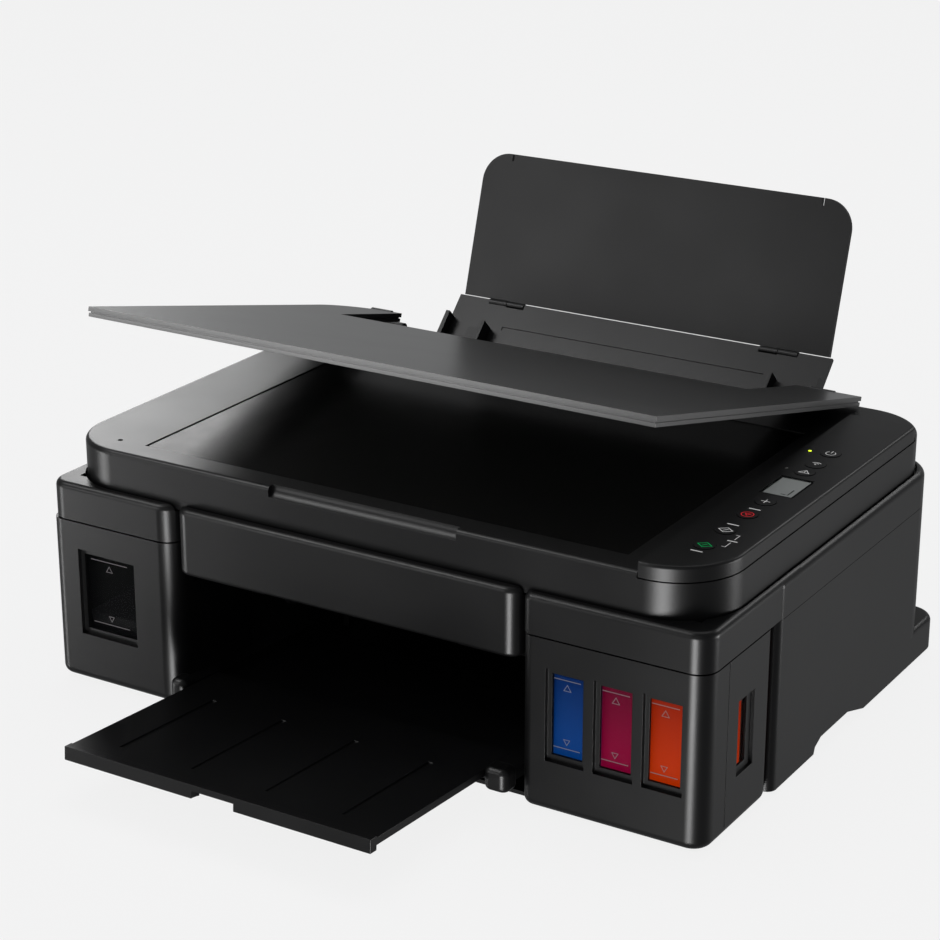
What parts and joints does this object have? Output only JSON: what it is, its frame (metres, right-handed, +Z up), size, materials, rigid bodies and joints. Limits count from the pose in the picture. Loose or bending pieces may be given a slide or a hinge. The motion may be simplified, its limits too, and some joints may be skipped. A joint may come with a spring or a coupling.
{
  "type": "inkjet printer",
  "caption": "Flatbed all-in-one inkjet printer with windowed refillable ink tanks, lifting document cover, rear paper support, control strip and pull-out output tray.",
  "frame": {"origin": "centre of the whole rest-pose bounding box in plan, on the desk under the rubber feet", "axes": "+X to the printer's right seen from its front, +Y to its rear, +Z up; the print outlet faces -Y"},
  "size_m": [0.445, 0.534, 0.2591],
  "materials": {
    "case_black": "satin moulded ABS",
    "trim_black": "fine matt moulded plastic",
    "foot_rubber": "matt",
    "steel": "zinc plated",
    "motor_can": "drawn steel can",
    "window_clear": "clear polycarbonate",
    "tank_plastic": "translucent polypropylene",
    "ink_cyan": "liquid ink",
    "ink_magenta": "liquid ink",
    "ink_yellow": "liquid ink",
    "ink_black": "liquid ink",
    "cap_cyan": "moulded rubber",
    "cap_magenta": "moulded rubber",
    "cap_yellow": "moulded rubber",
    "cap_black": "moulded rubber",
    "tube": "translucent elastomer",
    "belt_rubber": "toothed rubber",
    "roller_rubber": "rubber on a steel shaft",
    "inner_black": "matt moulded plastic",
    "lever_grey": "matt moulded plastic",
    "board": "solder mask",
    "inlet_black": "matt",
    "platen_glass": "flat polished glass over a dark interior",
    "display": "reflective grey liquid crystal",
    "button_black": "satin",
    "button_red": "satin",
    "button_white": "satin",
    "button_green": "satin",
    "pad_white": "smooth foam-backed sheet"
  },
  "bodies": {
    "main": {"base_case": "case_black", "tank_housing_left": "case_black", "tank_housing_right": "case_black", "upper_case": "case_black", "front_panel": "case_black", "rubber_feet": "foot_rubber", "case_screws": "steel", "tank_windows": "window_clear", "ink_tanks": "tank_plastic", "ink_cyan": "ink_cyan", "ink_magenta": "ink_magenta", "ink_yellow": "ink_yellow", "ink_black": "ink_black", "tank_cover_left": "trim_black", "tank_cover_right": "trim_black", "ink_tubes": "tube", "chassis": "steel", "carriage_belt": "belt_rubber", "carriage_motor": "motor_can", "feed_motor": "motor_can", "drive_belts": "belt_rubber", "platen": "inner_black", "purge_unit": "inner_black", "main_board": "board", "power_supply": "inner_black", "power_inlet": "inlet_black"},
    "rear_cover": {"rear_access_cover": "case_black"},
    "carriage": {"carriage": "inner_black", "print_heads": "inner_black"},
    "head_lock": {"head_lock": "lever_grey"},
    "motor_pulley": {"motor_pulley": "steel"},
    "idler_pulley": {"idler_pulley": "steel"},
    "feed_roller": {"feed_roller": "roller_rubber"},
    "eject_roller": {"eject_roller": "roller_rubber"},
    "feed_pulley": {"feed_pulley": "steel"},
    "pickup_roller": {"pickup_roller": "roller_rubber"},
    "scanner": {"scanner_housing": "case_black", "platen_glass": "platen_glass", "control_panel": "trim_black", "display": "display"},
    "scan_bar": {"scan_bar": "inner_black"},
    "cover": {"document_cover": "case_black", "cover_pad": "pad_white"},
    "rear_tray": {"rear_tray": "case_black"},
    "paper_support": {"paper_support": "case_black"},
    "guide_left": {"guide_left": "trim_black"},
    "guide_right": {"guide_right": "trim_black"},
    "output_tray": {"output_tray": "case_black"},
    "tray_extension": {"tray_extension": "case_black"},
    "cap_cyan": {"cap_cyan": "cap_cyan"},
    "cap_magenta": {"cap_magenta": "cap_magenta"},
    "cap_yellow": {"cap_yellow": "cap_yellow"},
    "cap_black": {"cap_black": "cap_black"},
    "button_power": {"button_power": "button_black"},
    "button_wireless": {"button_wireless": "button_black"},
    "button_info": {"button_info": "button_black"},
    "button_plus": {"button_plus": "button_black"},
    "button_stop": {"button_stop": "button_red"},
    "button_start_black": {"button_start_black": "button_white"},
    "button_start_color": {"button_start_color": "button_green"}
  },
  "joints": [
    {"name": "scanner_hinge", "type": "hinge", "parent": "main", "child": "scanner", "pos_m": [0, 0.1691, 0.13], "axis": [-1, 0, 0], "range_deg": [0, 30]},
    {"name": "cover_hinge", "type": "hinge", "parent": "scanner", "child": "cover", "pos_m": [0, 0.1671, 0.1605], "axis": [-1, 0, 0], "range_deg": [-14, 56]},
    {"name": "scan_bar_slide", "type": "slide", "parent": "scanner", "child": "scan_bar", "axis": [1, 0, 0], "range_m": [0, 0.29]},
    {"name": "press_power", "type": "slide", "parent": "scanner", "child": "button_power", "axis": [0, 0, -1], "range_m": [0, 0.001], "stiffness_N_per_m": 400},
    {"name": "press_wireless", "type": "slide", "parent": "scanner", "child": "button_wireless", "axis": [0, 0, -1], "range_m": [0, 0.001], "stiffness_N_per_m": 400},
    {"name": "press_info", "type": "slide", "parent": "scanner", "child": "button_info", "axis": [0, 0, -1], "range_m": [0, 0.001], "stiffness_N_per_m": 400},
    {"name": "press_plus", "type": "slide", "parent": "scanner", "child": "button_plus", "axis": [0, 0, -1], "range_m": [0, 0.001], "stiffness_N_per_m": 400},
    {"name": "press_stop", "type": "slide", "parent": "scanner", "child": "button_stop", "axis": [0, 0, -1], "range_m": [0, 0.001], "stiffness_N_per_m": 400},
    {"name": "press_start_black", "type": "slide", "parent": "scanner", "child": "button_start_black", "axis": [0, 0, -1], "range_m": [0, 0.001], "stiffness_N_per_m": 400},
    {"name": "press_start_color", "type": "slide", "parent": "scanner", "child": "button_start_color", "axis": [0, 0, -1], "range_m": [0, 0.001], "stiffness_N_per_m": 400},
    {"name": "rear_tray_slide", "type": "slide", "parent": "main", "child": "rear_tray", "axis": [0, 1, 0], "range_m": [-0.036, 0]},
    {"name": "paper_support_hinge", "type": "hinge", "parent": "rear_tray", "child": "paper_support", "pos_m": [-0.022, 0.23354, 0.15932], "axis": [-1, 0, 0], "range_deg": [-106.9, 0]},
    {"name": "guide_left_slide", "type": "slide", "parent": "rear_tray", "child": "guide_left", "axis": [1, 0, 0], "range_m": [0, 0.05]},
    {"name": "guide_right_slide", "type": "slide", "parent": "rear_tray", "child": "guide_right", "axis": [1, 0, 0], "range_m": [-0.05, 0]},
    {"name": "output_tray_slide", "type": "slide", "parent": "main", "child": "output_tray", "axis": [0, 1, 0], "range_m": [0, 0.012]},
    {"name": "tray_extension_slide", "type": "slide", "parent": "output_tray", "child": "tray_extension", "axis": [0, 0.9976, -0.0698], "range_m": [0, 0.105]},
    {"name": "rear_cover_pull", "type": "slide", "parent": "main", "child": "rear_cover", "axis": [0, 1, 0], "range_m": [0, 0.06]},
    {"name": "cap_cyan_hinge", "type": "hinge", "parent": "main", "child": "cap_cyan", "pos_m": [0.1366, -0.0789, 0.0973], "axis": [-1, 0, 0], "range_deg": [0, 55]},
    {"name": "cap_magenta_hinge", "type": "hinge", "parent": "main", "child": "cap_magenta", "pos_m": [0.1664, -0.0789, 0.0973], "axis": [-1, 0, 0], "range_deg": [0, 55]},
    {"name": "cap_yellow_hinge", "type": "hinge", "parent": "main", "child": "cap_yellow", "pos_m": [0.1962, -0.0789, 0.0973], "axis": [-1, 0, 0], "range_deg": [0, 55]},
    {"name": "cap_black_hinge", "type": "hinge", "parent": "main", "child": "cap_black", "pos_m": [-0.18, -0.0789, 0.0973], "axis": [-1, 0, 0], "range_deg": [0, 55]},
    {"name": "carriage_slide", "type": "slide", "parent": "main", "child": "carriage", "axis": [-1, 0, 0], "range_m": [0, 0.29]},
    {"name": "head_lock_hinge", "type": "hinge", "parent": "carriage", "child": "head_lock", "pos_m": [0.14, 0.0371, 0.095], "axis": [-1, 0, 0], "range_deg": [0, 25]},
    {"name": "motor_pulley_spin", "type": "hinge", "parent": "main", "child": "motor_pulley", "pos_m": [0.2, 0.0751, 0.106], "axis": [0, 1, 0], "continuous": true},
    {"name": "idler_pulley_spin", "type": "hinge", "parent": "main", "child": "idler_pulley", "pos_m": [-0.2, 0.0751, 0.106], "axis": [0, 1, 0], "continuous": true},
    {"name": "feed_roller_spin", "type": "hinge", "parent": "main", "child": "feed_roller", "pos_m": [0, 0.0761, 0.039], "axis": [1, 0, 0], "continuous": true},
    {"name": "eject_roller_spin", "type": "hinge", "parent": "main", "child": "eject_roller", "pos_m": [0, -0.0279, 0.039], "axis": [1, 0, 0], "continuous": true},
    {"name": "feed_pulley_spin", "type": "hinge", "parent": "main", "child": "feed_pulley", "pos_m": [-0.1351, 0.1101, 0.025], "axis": [1, 0, 0], "continuous": true},
    {"name": "pickup_roller_spin", "type": "hinge", "parent": "main", "child": "pickup_roller", "pos_m": [0, 0.1381, 0.092], "axis": [1, 0, 0], "continuous": true}
  ],
  "couplings": [
    {"joint": "guide_right_slide", "follows": "guide_left_slide", "ratio": -1},
    {"joint": "motor_pulley_spin", "follows": "carriage_slide", "rad_per_m": 142.86},
    {"joint": "idler_pulley_spin", "follows": "carriage_slide", "rad_per_m": 142.86},
    {"joint": "eject_roller_spin", "follows": "feed_roller_spin", "ratio": 1},
    {"joint": "feed_pulley_spin", "follows": "feed_roller_spin", "ratio": 1.8}
  ]
}
